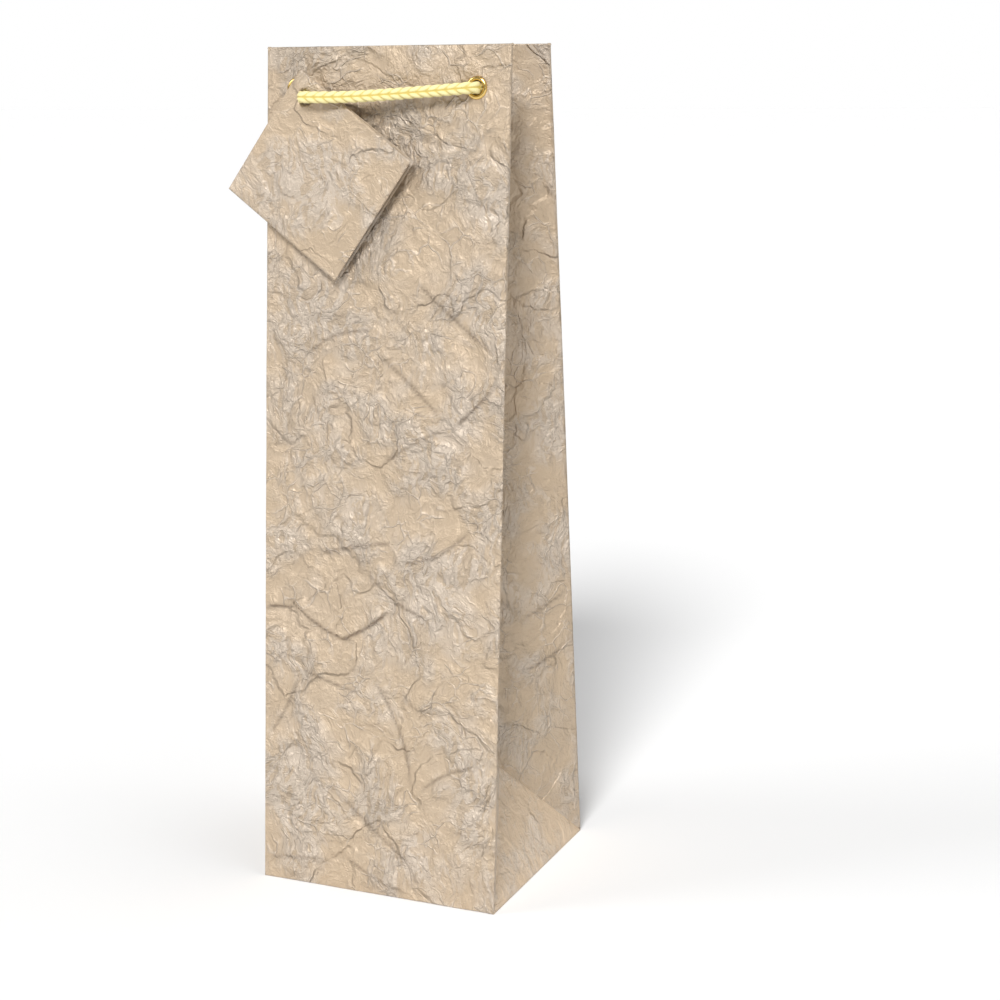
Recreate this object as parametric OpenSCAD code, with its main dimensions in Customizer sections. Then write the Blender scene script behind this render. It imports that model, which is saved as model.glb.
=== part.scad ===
// Gift bag for one wine bottle: crushed-paper sides with pinched gussets, a base of
// glued flaps, a top hem on card, cord handles in eyelets and a folded tag.
// Millimetres. The bag stands on z = 0, its front faces -Y, the origin is the middle
// of its base. Each panel is drawn in its own frame: x across, y inwards from the
// outer face, z up the panel from its bottom fold.

/* [Bag] */
// Width of the front and back panels
bag_w = 110; // [106:1:114]
// Depth of the base from front to back
bag_d = 100; // [98:1:104]
// Height of a panel from its bottom fold to the mouth
bag_h = 356; // [350:1:362]
// Gap left between the front and back panels at the mouth
mouth_d = 42; // [41:0.5:46]
// Thickness of the crushed paper
sheet_t = 0.4; // [0.3:0.05:0.45]

/* [Hem] */
// Depth of the turned-in hem
hem_h = 36; // [32:1:40]
// Thickness of the card strip inside the hem
card_t = 0.5; // [0.4:0.05:0.6]
// Distance of the hem and its card from the side folds
hem_inset = 7; // [6:0.5:9]

/* [Base] */
// Thickness of the loose base card
base_card_t = 1; // [0.8:0.1:1.5]
// How far the front and back bottom flaps pass the middle of the base
flap_lap = 14; // [8:1:20]

/* [Eyelets] */
// Distance of an eyelet from the mouth
eyelet_drop = 17; // [15:0.5:18]
// Distance of an eyelet from the middle of the panel
eyelet_x = 40.5; // [40:0.1:41]
// Bore of an eyelet
eyelet_bore_d = 6; // [5.9:0.1:6.2]
// Outer diameter of an eyelet's front flange
eyelet_flange_d = 9.2; // [9:0.1:10]

/* [Handles] */
// Diameter of the knitted cord
cord_d = 5.4; // [5:0.1:5.5]
// Diameter of the knot at each end of a cord
knot_d = 11; // [10:0.5:11.5]

/* [Tag] */
// Length of the tag from its fold to its open edge
tag_w = 62; // [56:1:64]
// Height of the tag along its fold
tag_h = 60; // [56:1:62]
// Distance of the tag's hole from its fold and from its top edge
tag_hole_in = 8; // [7.5:0.5:9]
// Diameter of the tag's hole
tag_hole_d = 6.8; // [6.6:0.1:7]
// How far the tag is turned on the cord
tag_turn = 36; // [30:1:40]
// How far the tag's front leaf stands open
tag_open = 2.5; // [2:0.5:3]

/* [Hidden] */

$fn = 48;

paper_color = [0.80, 0.72, 0.64];
lining_color = [0.88, 0.86, 0.82];
card_color = [0.66, 0.60, 0.52];
metal_color = [0.83, 0.64, 0.27];
cord_color = [0.95, 0.90, 0.62];

// lean of the front and back panels, and of the two triangles at the gussets' feet
half_d = bag_d / 2;
lean = asin((half_d - mouth_d / 2) / bag_h);
top_z = bag_h * cos(lean);
foot_lean = acos((1 - sin(lean)) / cos(lean));
foot_top_z = half_d * cos(foot_lean);

// clearances between pieces that fold against each other
floor_gap = 0.3;
fold_gap = 1.8;
crease_gap = 4;
diagonal_gap = 1.2;
fit_gap = 0.1;

// layers at the mouth, counted inwards from a panel's outer face
card_y = sheet_t;
hem_y = card_y + card_t;
washer_y = hem_y + sheet_t;
washer_t = 0.3;
curl_y = washer_y + washer_t;
curl_t = 0.6;
hem_w = bag_w - 2 * hem_inset;
card_h = hem_h - 2;

eyelet_z = bag_h - eyelet_drop;
barrel_t = 0.4;
flange_t = 0.7;
barrel_d = eyelet_bore_d + 2 * barrel_t;
paper_hole_d = barrel_d + 2 * fit_gap;
washer_d = eyelet_flange_d + 0.8;

flap_chamfer = 22;
seam_w = 14;
seam_inset = 4;
seam_foot = 6;
seam_head = 2;
flap_side_gap = 1.8;
flap_end_gap = 0.8;
side_flap_share = 0.7;
card_side_gap = 2.5;
card_end_gap = 1.5;
base_gap = 1.2;

// gusset halves: heights of the rows of points, steps across, and the bow of the paper
hem_step = 0.5;
gusset_rows = concat([4, 12, 24, 36, foot_top_z, 60, 90, 120, 150, 180, 210, 240, 270, 300],
                     [top_z - hem_h, top_z - hem_h + hem_step, top_z - hem_h / 2, top_z]);
gusset_cols = 5;
gusset_bow = 2.5;

// tag: place of its hole on the front panel, stand-off and tilt
tag_x = -32.9;
tag_z = 335.1;
tag_lift = 5.9;
tag_tilt = 3.6;
tag_fold_gap = 0.3;

cord_sides = 10;
tail_end_x = 22;
tail_end_y = 14.6;
tail_end_z = 228;
knot_drop = 4;
tail_tuft = 8;
tuft_lap = 1;

// route of the front handle in the front panel's frame, from the left knot's end
front_route = [
    [-tail_end_x, tail_end_y, tail_end_z], [-22, 13.4, 243], [-22.4, 12.2, 258], [-23.4, 11.0, 273],
    [-25.2, 9.8, 288], [-27.6, 8.6, 302], [-30.6, 7.4, 315], [-34, 6.3, 326],
    [-37.4, 5.4, 334], [-39.6, 4.0, 338], [-40.4, 2.0, 339], [-40.5, 0, 339],
    [-40.3, -1.4, 338.9], [-39.2, -2.5, 338.4], [-37.4, -2.9, 337.5],
    [-35.3, -3.1, 336.4], [-33.8, -4.0, 335.6], [-33.1, -5.8, 335.1],
    [-33.0, -8.1, 335.1], [-32.4, -10.1, 335.1], [-30.4, -11.0, 335.0],
    [-24, -11.0, 334.9], [-16, -10.0, 335.0], [-8, -8.9, 335.3], [0.6, -7.8, 335.8],
    [9, -6.7, 336.4], [17, -5.7, 337.0], [25, -4.8, 337.6], [32, -4.1, 338.2],
    [36.8, -3.5, 338.6], [39.4, -2.2, 338.9], [40.4, -0.2, 339],
    [40.5, 1.8, 339], [39.8, 3.8, 338], [37.4, 5.4, 334], [34, 6.3, 326],
    [30.6, 7.4, 315], [27.6, 8.6, 302], [25.2, 9.8, 288], [23.4, 11.0, 273],
    [22.4, 12.2, 258], [22, 13.4, 243], [tail_end_x, tail_end_y, tail_end_z]
];

// route of the back handle in the back panel's frame
back_route = [
    [-tail_end_x, tail_end_y, tail_end_z], [-22, 13.4, 243], [-22.4, 12.2, 258], [-23.4, 11.0, 273],
    [-25.2, 9.8, 288], [-27.6, 8.6, 302], [-30.6, 7.4, 315], [-34, 6.3, 326],
    [-37.4, 5.4, 334], [-39.8, 3.8, 338], [-40.5, 1.8, 339], [-40.4, -0.2, 339],
    [-39.4, -2.2, 338.8], [-36.6, -3.3, 338.2], [-28, -3.6, 337.0], [-15, -3.8, 335.6],
    [0, -3.8, 335], [15, -3.8, 335.6], [28, -3.6, 337.0], [36.6, -3.3, 338.2],
    [39.4, -2.2, 338.8], [40.4, -0.2, 339], [40.5, 1.8, 339], [39.8, 3.8, 338],
    [37.4, 5.4, 334], [34, 6.3, 326], [30.6, 7.4, 315], [27.6, 8.6, 302],
    [25.2, 9.8, 288], [23.4, 11.0, 273], [22.4, 12.2, 258], [22, 13.4, 243],
    [tail_end_x, tail_end_y, tail_end_z]
];

// half of the depth between the panels at height z, and how far the gusset folds in
function half_depth(z) = half_d - z * tan(lean);
function fold_angle(z) = acos(half_depth(max(z, foot_top_z)) / half_d);

function unit(v) = v / norm(v);

// directions along a route, and a side vector carried along it without twisting
function heading(r, i) = unit(r[min(i + 1, len(r) - 1)] - r[max(i - 1, 0)]);
function square_to(v, t) = unit(v - (v * t) * t);
function side_vectors(r, i, v) =
    i == len(r) ? []
        : concat([v], side_vectors(r, i + 1, i + 1 < len(r) ? square_to(v, heading(r, i + 1)) : v));

function tube_points(r, d, sides) =
    let (s = side_vectors(r, 0, square_to([1, 0, 0], heading(r, 0))))
    [for (i = [0 : len(r) - 1]) let (t = heading(r, i), u = s[i], w = cross(t, u))
        for (k = [0 : sides - 1]) r[i] + d / 2 * (cos(360 * k / sides) * u + sin(360 * k / sides) * w)];

// a closed round tube swept along a route
module tube(r, d, sides) {
    rings = len(r);
    walls = [for (i = [0 : rings - 2]) for (k = [0 : sides - 1])
        let (n = (k + 1) % sides) [i * sides + k, i * sides + n, (i + 1) * sides + n,
            (i + 1) * sides + k]];
    start_cap = [for (k = [0 : sides - 1]) sides - 1 - k];
    end_cap = [for (k = [0 : sides - 1]) (rings - 1) * sides + k];
    faces = [for (f = concat(walls, [start_cap, end_cap])) [for (i = [len(f) - 1 : -1 : 0]) f[i]]];
    polyhedron(tube_points(r, d, sides), faces, convexity = 8);
}

// places a child in the front or the back panel's frame
module at_front() {
    translate([0, -half_d, 0]) rotate([-lean, 0, 0]) children();
}

module at_back() {
    rotate([0, 0, 180]) at_front() children();
}

// a hole or ring along y, centred on an eyelet; side is -1 on the left, 1 on the right
module at_eyelet(side) {
    translate([side * eyelet_x, 0, eyelet_z]) rotate([-90, 0, 0]) children();
}

module eyelet_holes(d) {
    for (side = [-1, 1]) at_eyelet(side) translate([0, 0, -hem_h]) cylinder(h = 2 * hem_h, d = d);
}

module panel_sheet() {
    difference() {
        translate([-bag_w / 2, 0, floor_gap]) cube([bag_w, sheet_t, bag_h - floor_gap]);
        eyelet_holes(paper_hole_d);
    }
}

module top_strip(y, t, h) {
    difference() {
        translate([-hem_w / 2, y, bag_h - h]) cube([hem_w, t, h]);
        eyelet_holes(paper_hole_d);
    }
}

// flanged barrel with its end curled over the washer
module eyelet() {
    flange_r = eyelet_flange_d / 2;
    bore_r = eyelet_bore_d / 2;
    rotate_extrude() {
        translate([bore_r, -flange_t / 2]) square([barrel_t, curl_y + curl_t + flange_t / 2 - barrel_t]);
        translate([bore_r + flange_t / 2, -flange_t]) square([flange_r - bore_r - flange_t, flange_t]);
        translate([bore_r + flange_t / 2, -flange_t / 2]) circle(d = flange_t);
        translate([flange_r - flange_t / 2, -flange_t / 2]) circle(d = flange_t);
        translate([bore_r + curl_t / 2, curl_y + curl_t / 2]) circle(d = curl_t);
        translate([bore_r + curl_t / 2, curl_y]) square([curl_t, curl_t]);
    }
}

module washer() {
    translate([0, 0, washer_y]) difference() {
        cylinder(h = washer_t, d = washer_d);
        translate([0, 0, -washer_t]) cylinder(h = 3 * washer_t, d = paper_hole_d);
    }
}

// overhand knot with the cord's cut end below it
module knot(side) {
    end = [side * tail_end_x, tail_end_y, tail_end_z];
    translate(end) rotate([lean, 0, 0]) {
        translate([0, 0, -knot_drop]) sphere(d = knot_d);
        translate([0, 0, -knot_drop - knot_d / 2 - tail_tuft + tuft_lap])
            cylinder(h = tail_tuft, d = cord_d);
    }
}

// one half of a gusset, for the corner at +x on the front: from the side fold to just
// short of the centre crease, twisting as the bag narrows, and doubled at the hem
function gusset_reach(z) =
    min(z < foot_top_z ? (z - diagonal_gap) * half_d / foot_top_z : half_d, half_d - crease_gap);

function gusset_point(z, j, outer) =
    let (
        r = fold_gap + (gusset_reach(z) - fold_gap) * j / gusset_cols,
        a = fold_angle(z),
        u = r / half_d,
        bow = gusset_bow * 4 * u * (1 - u) * z / top_z,
        doubled = j > 0 && z > top_z - hem_h,
        off = bow + (outer ? sheet_t : doubled ? -sheet_t : 0)
    )
    [bag_w / 2 - r * sin(a) + off * cos(a), r * cos(a) + off * sin(a) - half_depth(z), z];

function split(q) = [[q[0], q[1], q[2]], [q[0], q[2], q[3]]];

module gusset_half() {
    rows = len(gusset_rows);
    n = gusset_cols + 1;
    size = rows * n;
    points = [for (outer = [false, true]) for (z = gusset_rows) for (j = [0 : gusset_cols])
        gusset_point(z, j, outer)];
    starts = [for (i = [0 : rows - 2]) for (j = [0 : n - 2]) i * n + j];
    inner_face = [for (p = starts) [p, p + 1, p + n + 1, p + n]];
    outer_face = [for (p = starts) [p, p + n, p + n + 1, p + 1] + size * [1, 1, 1, 1]];
    foot_edge = [for (p = [0 : n - 2]) [p + 1, p, p + size, p + 1 + size]];
    head_edge = [for (p = [size - n : size - 2]) [p, p + 1, p + 1 + size, p + size]];
    fold_edge = [for (p = [0 : n : size - 2 * n]) [p, p + n, p + n + size, p + size]];
    crease_edge = [for (p = [n - 1 : n : size - n - 1]) [p + n, p, p + size, p + n + size]];
    quads = concat(inner_face, outer_face, foot_edge, head_edge, fold_edge, crease_edge);
    polyhedron(points, [for (q = quads) each split(q)], convexity = 6);
}

// triangle at a gusset's foot, leaning in from the side of the base at +x
module gusset_foot() {
    base_y = half_d - base_gap;
    top = half_d - diagonal_gap * sqrt(2);
    translate([bag_w / 2, 0, 0]) rotate([0, -foot_lean, 0])
        translate([-sheet_t, 0, 0]) rotate([90, 0, 90]) linear_extrude(sheet_t)
            polygon([[-base_y + floor_gap, floor_gap], [base_y - floor_gap, floor_gap], [0, top]]);
}

// bottom flap from the panel at -y, with its far corners cut off
module bottom_flap(z, reach) {
    x = bag_w / 2 - flap_side_gap;
    y = half_d - flap_end_gap;
    translate([0, 0, z]) linear_extrude(sheet_t)
        polygon([[-x, -y], [x, -y], [x, reach - flap_chamfer], [x - flap_chamfer, reach],
                 [-x + flap_chamfer, reach], [-x, reach - flap_chamfer]]);
}

module bottom_side_flap() {
    x = bag_w / 2 - flap_side_gap;
    y = half_d - flap_end_gap;
    inner = x - half_d * side_flap_share;
    translate([0, 0, 2 * sheet_t]) linear_extrude(sheet_t)
        polygon([[x, -y], [x, y], [inner, y - (x - inner)], [inner, -y + (x - inner)]]);
}

// the tag's frame: origin at its hole on the back leaf's rear face, x away from the
// fold, z up along the fold, y inwards
module at_tag() {
    far_x = tag_w - tag_hole_in;
    far_z = tag_h - tag_hole_in;
    at_front() translate([tag_x, -tag_lift, tag_z]) rotate([0, tag_turn, 0])
        rotate(a = tag_tilt, v = [far_z, 0, far_x]) children();
}

module tag_leaf() {
    difference() {
        translate([-tag_hole_in, -sheet_t, tag_hole_in - tag_h]) cube([tag_w, sheet_t, tag_h]);
        rotate([90, 0, 0]) cylinder(h = 4 * sheet_t, d = tag_hole_d, center = true);
    }
}

module bottom_front_flap() { color(paper_color) bottom_flap(0, flap_lap); }
module bottom_back_flap() { color(paper_color) rotate([0, 0, 180]) bottom_flap(sheet_t, flap_lap); }
module bottom_side_flaps() {
    color(lining_color) for (m = [0, 1]) mirror([m, 0, 0]) bottom_side_flap();
}
module base_card() {
    w = bag_w - 2 * card_side_gap;
    d = bag_d - 2 * card_end_gap;
    color(card_color) translate([-w / 2, -d / 2, 3 * sheet_t]) cube([w, d, base_card_t]);
}

module right_foot() { color(paper_color) gusset_foot(); }
module left_foot() { color(paper_color) mirror([1, 0, 0]) gusset_foot(); }

module front_panel() { color(paper_color) at_front() panel_sheet(); }
module front_top_card() { color(card_color) at_front() top_strip(card_y, card_t, card_h); }
module front_hem() { color(lining_color) at_front() top_strip(hem_y, sheet_t, hem_h); }
module front_left_eyelet() { color(metal_color) at_front() at_eyelet(-1) eyelet(); }
module front_right_eyelet() { color(metal_color) at_front() at_eyelet(1) eyelet(); }
module front_left_washer() { color(metal_color) at_front() at_eyelet(-1) washer(); }
module front_right_washer() { color(metal_color) at_front() at_eyelet(1) washer(); }
module front_handle_cord() { color(cord_color) at_front() tube(front_route, cord_d, cord_sides); }
module front_left_knot() { color(cord_color) at_front() knot(-1); }
module front_right_knot() { color(cord_color) at_front() knot(1); }

module back_panel() { color(paper_color) at_back() panel_sheet(); }
module back_top_card() { color(card_color) at_back() top_strip(card_y, card_t, card_h); }
module back_hem() { color(lining_color) at_back() top_strip(hem_y, sheet_t, hem_h); }
module side_seam_flap() {
    h = bag_h - hem_h - seam_foot - seam_head;
    color(lining_color) at_back() translate([bag_w / 2 - seam_inset - seam_w, sheet_t,
        seam_foot]) cube([seam_w, sheet_t, h]);
}
module back_left_eyelet() { color(metal_color) at_back() at_eyelet(1) eyelet(); }
module back_right_eyelet() { color(metal_color) at_back() at_eyelet(-1) eyelet(); }
module back_left_washer() { color(metal_color) at_back() at_eyelet(1) washer(); }
module back_right_washer() { color(metal_color) at_back() at_eyelet(-1) washer(); }
module back_handle_cord() { color(cord_color) at_back() tube(back_route, cord_d, cord_sides); }
module back_left_knot() { color(cord_color) at_back() knot(1); }
module back_right_knot() { color(cord_color) at_back() knot(-1); }

module right_gusset_front() { color(paper_color) gusset_half(); }
module right_gusset_back() { color(paper_color) mirror([0, 1, 0]) gusset_half(); }
module left_gusset_front() { color(paper_color) mirror([1, 0, 0]) gusset_half(); }
module left_gusset_back() { color(paper_color) rotate([0, 0, 180]) gusset_half(); }

module tag_back_leaf() { color(paper_color) at_tag() tag_leaf(); }
module tag_front_leaf() {
    color(paper_color) at_tag() translate([-tag_hole_in, -sheet_t - tag_fold_gap, 0])
        rotate([0, 0, -tag_open]) translate([tag_hole_in, 0, 0]) tag_leaf();
}

bottom_front_flap();
bottom_back_flap();
bottom_side_flaps();
base_card();
right_foot();
left_foot();
front_panel();
front_top_card();
front_hem();
front_left_eyelet();
front_right_eyelet();
front_left_washer();
front_right_washer();
front_handle_cord();
front_left_knot();
front_right_knot();
back_panel();
back_top_card();
back_hem();
side_seam_flap();
back_left_eyelet();
back_right_eyelet();
back_left_washer();
back_right_washer();
back_handle_cord();
back_left_knot();
back_right_knot();
right_gusset_front();
right_gusset_back();
left_gusset_front();
left_gusset_back();
tag_back_leaf();
tag_front_leaf();
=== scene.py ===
"""Wine gift bag: crushed pearl paper pinched in at the gussets, gilt eyelets, knitted cord handles, folded tag.

Lengths inside the shaping functions are millimetres in a panel's own frame: x across, y inwards from the outer
face, s up the panel from its bottom fold. Everything is scaled to metres when it is put in the bag's frame.
"""

import math

import bmesh
import bpy
import numpy as np
from bpy.props import FloatProperty, FloatVectorProperty, PointerProperty
from mathutils import Matrix, Vector, noise


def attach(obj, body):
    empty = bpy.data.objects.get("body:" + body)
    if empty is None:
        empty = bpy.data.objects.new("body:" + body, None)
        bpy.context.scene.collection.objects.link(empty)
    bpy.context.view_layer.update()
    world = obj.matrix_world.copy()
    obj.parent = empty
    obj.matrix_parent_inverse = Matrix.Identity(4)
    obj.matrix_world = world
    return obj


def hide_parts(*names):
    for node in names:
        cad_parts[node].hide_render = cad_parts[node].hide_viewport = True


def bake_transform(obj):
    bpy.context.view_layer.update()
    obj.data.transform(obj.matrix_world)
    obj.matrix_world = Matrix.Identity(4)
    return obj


bl_info = {
    "name": "Wine gift bag",
    "version": (1, 0, 0),
    "blender": (4, 5, 0),
    "location": "View3D > Sidebar > Gift bag",
    "description": "Builds a crushed-paper wine gift bag round its packed frame",
    "category": "Add Mesh",
}

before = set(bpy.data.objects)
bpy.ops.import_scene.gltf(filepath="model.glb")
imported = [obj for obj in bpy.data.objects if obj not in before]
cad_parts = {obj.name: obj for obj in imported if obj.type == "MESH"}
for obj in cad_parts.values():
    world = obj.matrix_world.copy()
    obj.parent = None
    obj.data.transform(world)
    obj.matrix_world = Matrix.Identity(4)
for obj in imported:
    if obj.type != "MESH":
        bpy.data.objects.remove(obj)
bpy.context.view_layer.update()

MM = 0.001
BAG_W, BAG_D, BAG_H, MOUTH_D = 110.0, 100.0, 356.0, 42.0
HALF_D = BAG_D / 2
LEAN = math.asin((HALF_D - MOUTH_D / 2) / BAG_H)
TOP_Z = BAG_H * math.cos(LEAN)
FOOT_LEAN = math.acos((1 - math.sin(LEAN)) / math.cos(LEAN))
FOOT_TOP_Z = HALF_D * math.cos(FOOT_LEAN)
HEM_H, HEM_Y, HEM_SIDE_GAP = 36.0, 1.3, 2.2
HEM_THICK, FOLD_THICK, LEAF_THICK = 0.35 * MM, 0.36 * MM, 0.34 * MM
# how far a gusset's outer face lies outside its fold plane, and how far its turned-in hem lies inside it
FACE_OUT, HEM_IN = 0.42, 0.46
EYELET_X, EYELET_S = 40.5, 339.0
TAG_X, TAG_S, TAG_LIFT, TAG_TURN, TAG_TILT = -32.9, 335.1, 5.9, 36.0, 3.6
TAG_W, TAG_H, TAG_IN, TAG_GAPE = 62.0, 60.0, 8.0, 2.5

# the handles' routes, the same points as in the part: x, y inwards, s
TAIL = [(22, 14.6, 228), (22, 13.4, 243), (22.4, 12.2, 258), (23.4, 11.0, 273), (25.2, 9.8, 288),
        (27.6, 8.6, 302), (30.6, 7.4, 315), (34, 6.3, 326), (37.4, 5.4, 334)]
LEFT_TAIL = [(-x, y, s) for x, y, s in TAIL]
FRONT_ROUTE = LEFT_TAIL + [
    (-39.6, 4.0, 338), (-40.4, 2.0, 339), (-40.5, 0, 339), (-40.3, -1.4, 338.9),
    (-39.2, -2.5, 338.4), (-37.4, -2.9, 337.5), (-35.3, -3.1, 336.4), (-33.8, -4.0, 335.6),
    (-33.1, -5.8, 335.1), (-33.0, -8.1, 335.1), (-32.4, -10.1, 335.1), (-30.4, -11.0, 335.0),
    (-24, -11.0, 334.9), (-16, -10.0, 335.0), (-8, -8.9, 335.3), (0.6, -7.8, 335.8),
    (9, -6.7, 336.4), (17, -5.7, 337.0), (25, -4.8, 337.6), (32, -4.1, 338.2),
    (36.8, -3.5, 338.6), (39.4, -2.2, 338.9), (40.4, -0.2, 339), (40.5, 1.8, 339),
    (39.8, 3.8, 338),
] + TAIL[::-1]
BACK_ROUTE = LEFT_TAIL + [
    (-39.8, 3.8, 338), (-40.5, 1.8, 339), (-40.4, -0.2, 339), (-39.4, -2.2, 338.8), (-36.6, -3.3, 338.2),
    (-28, -3.6, 337.0), (-15, -3.8, 335.6), (0, -3.8, 335), (15, -3.8, 335.6), (28, -3.6, 337.0),
    (36.6, -3.3, 338.2), (39.4, -2.2, 338.8), (40.4, -0.2, 339), (40.5, 1.8, 339), (39.8, 3.8, 338),
] + TAIL[::-1]

# main crush folds, each an arc: start x and s, heading, turn over its length (degrees), length, depth, width
FRONT_FOLDS = [
    (-55, 120, 20, -30, 13, 0.8, 2.4),
    (-43, 125, -45, 35, 35, 0.9, 2.6),
    (-18, 110, 20, 25, 26, 0.7, 2.2),
    (5, 130, -35, 25, 20, 0.5, 1.8),
    (-52, 65, 55, 15, 30, 0.4, 1.6),
    (-37, 95, -20, 10, 28, 0.45, 1.4),
    (-3, 95, -50, -35, 50, 0.45, 1.5),
    (20, 48, 45, -30, 28, 0.4, 1.5),
    (-16, 40, -40, 8, 45, 0.4, 1.5),
    (-52, 9, 12, -15, 30, 0.4, 1.6),
    (-15, 15, -35, 25, 32, 0.4, 1.5),
    (10, 145, 5, 45, 35, 0.45, 1.8),
    (-30, 145, 20, -15, 38, 0.4, 1.6),
    (-35, 230, 45, -50, 32, 0.4, 1.5),
    (33, 203, 42, 5, 25, 0.5, 1.8),
    (15, 262, -42, 6, 45, 0.45, 1.6),
    (-2, 232, -38, -6, 40, 0.4, 1.5),
    (0, 186, 35, -10, 30, 0.35, 1.6),
]
GUSSET_FOLDS = [(8, 92, -30, 25, 24, 0.5, 1.6), (4, 118, -28, 12, 25, 0.4, 1.8)]


class WineBagProperties(bpy.types.PropertyGroup):
    relief: FloatProperty(name="Crush", description="Depth of the crushed relief against the usual paper",
                          default=1.0, min=0.0, max=2.0)
    paper_thickness: FloatProperty(name="Paper", description="Thickness of the crushed paper", default=0.0004,
                                   min=0.0002, max=0.0006, unit="LENGTH")
    cord_diameter: FloatProperty(name="Cord", description="Diameter of the knitted cord over its stitches",
                                 default=0.0055, min=0.004, max=0.0056, unit="LENGTH")
    stitch_pitch: FloatProperty(name="Stitch", description="Length of one stitch along the cord",
                                default=0.0040, min=0.003, max=0.007, unit="LENGTH")
    paper_warm: FloatVectorProperty(name="Warm paper", description="Colour of the smooth plates of the paper",
                                    default=(0.52, 0.405, 0.285), size=3, min=0, max=1, subtype="COLOR")
    paper_grey: FloatVectorProperty(name="Pearl grey", description="Colour where creases run together",
                                    default=(0.50, 0.42, 0.34), size=3, min=0, max=1, subtype="COLOR")
    cord_light: FloatVectorProperty(name="Cord", description="Colour of the crowns of the cord's stitches",
                                    default=(0.86, 0.77, 0.38), size=3, min=0, max=1, subtype="COLOR")
    # painted shade: the colour between the stitches is darker and more saturated, standing in for the shade in
    # the cord's hollows
    cord_hollow_shade: FloatVectorProperty(name="Cord hollows", description="Colour between the cord's stitches",
                                   default=(0.62, 0.47, 0.10), size=3, min=0, max=1, subtype="COLOR")
    gilt: FloatVectorProperty(name="Gilt", description="Colour of the eyelets",
                              default=(0.86, 0.60, 0.20), size=3, min=0, max=1, subtype="COLOR")


# ---------------------------------------------------------------- placing


def turn(axis, degrees):
    return np.array(Matrix.Rotation(math.radians(degrees), 3, Vector(axis)))


def half_depth(z):
    return HALF_D - z * math.tan(LEAN)


def fold_angle(z):
    return np.arccos(half_depth(np.maximum(z, FOOT_TOP_Z)) / HALF_D)


def smooth(x, low, high):
    t = np.clip((x - low) / (high - low), 0, 1)
    return t * t * (3 - 2 * t)


def panel_frame(side):
    """Turn and shift, in mm, of the front (-1) or back (1) panel's frame."""
    rotation = turn((1, 0, 0), -math.degrees(LEAN))
    shift = np.array([0, -HALF_D, 0])
    if side > 0:
        half_turn = turn((0, 0, 1), 180)
        rotation, shift = half_turn @ rotation, half_turn @ shift
    return rotation, shift


def in_panel(points, side):
    rotation, shift = panel_frame(side)
    return np.asarray(points, float) @ rotation.T + shift


def tag_frame():
    rotation, shift = panel_frame(-1)
    inner = turn((0, 1, 0), TAG_TURN) @ turn((TAG_H - TAG_IN, 0, TAG_W - TAG_IN), TAG_TILT)
    return rotation @ inner, rotation @ np.array([TAG_X, -TAG_LIFT, TAG_S]) + shift


def end_word(hand, side):
    """Left or right as seen from the front; the back panel's frame is turned round."""
    return "left" if hand * side > 0 else "right"


# ---------------------------------------------------------------- relief of the paper


def arc_points(x, s, heading, bend, length, steps=7):
    """Points along an arc that starts at x, s and turns by bend degrees over its length."""
    points = [(x, s)]
    for k in range(steps):
        angle = math.radians(heading + bend * (k + 0.5) / steps)
        x, s = x + math.cos(angle) * length / steps, s + math.sin(angle) * length / steps
        points.append((x, s))
    return points


def fold_profile(x, s, folds):
    """Height of the listed folds: a ledge that rises to the line on its left side and drops beyond it, and a
    painted crease shade along each line.
    """
    height, crease_shade_mask = np.zeros_like(x), np.zeros_like(x)
    for start_x, start_s, heading, bend, length, depth, width in folds:
        points = arc_points(start_x, start_s, heading, bend, length)
        best = np.full_like(x, np.inf)
        signed = np.zeros_like(x)
        along = np.zeros_like(x)
        total = len(points) - 1
        for k in range(total):
            ax, ay = points[k]
            bx, by = points[k + 1]
            dx, dy = bx - ax, by - ay
            t = np.clip(((x - ax) * dx + (s - ay) * dy) / (dx * dx + dy * dy), 0, 1)
            px, py = x - ax - t * dx, s - ay - t * dy
            dist = np.hypot(px, py)
            near = dist < best
            side = np.sign(dx * py - dy * px)
            best = np.where(near, dist, best)
            signed = np.where(near, dist * side, signed)
            along = np.where(near, (k + t) / total, along)
        ends = smooth(along, 0, 0.15) * (1 - smooth(along, 0.85, 1))
        ledge = 1.7 * signed / (np.abs(signed) + 0.8) * np.exp(-np.abs(signed) / (1.6 * width))
        strength = depth * (0.25 + 0.75 * ends)
        height += 1.5 * strength * ledge
        # painted crease shade: a narrow dark band along each fold line, stronger for deeper folds
        crease_shade_mask = np.maximum(crease_shade_mask, np.minimum(1.6 * strength, 1) * np.exp(-((signed + 0.1) / 0.6) ** 2))
    return height, crease_shade_mask


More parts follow.
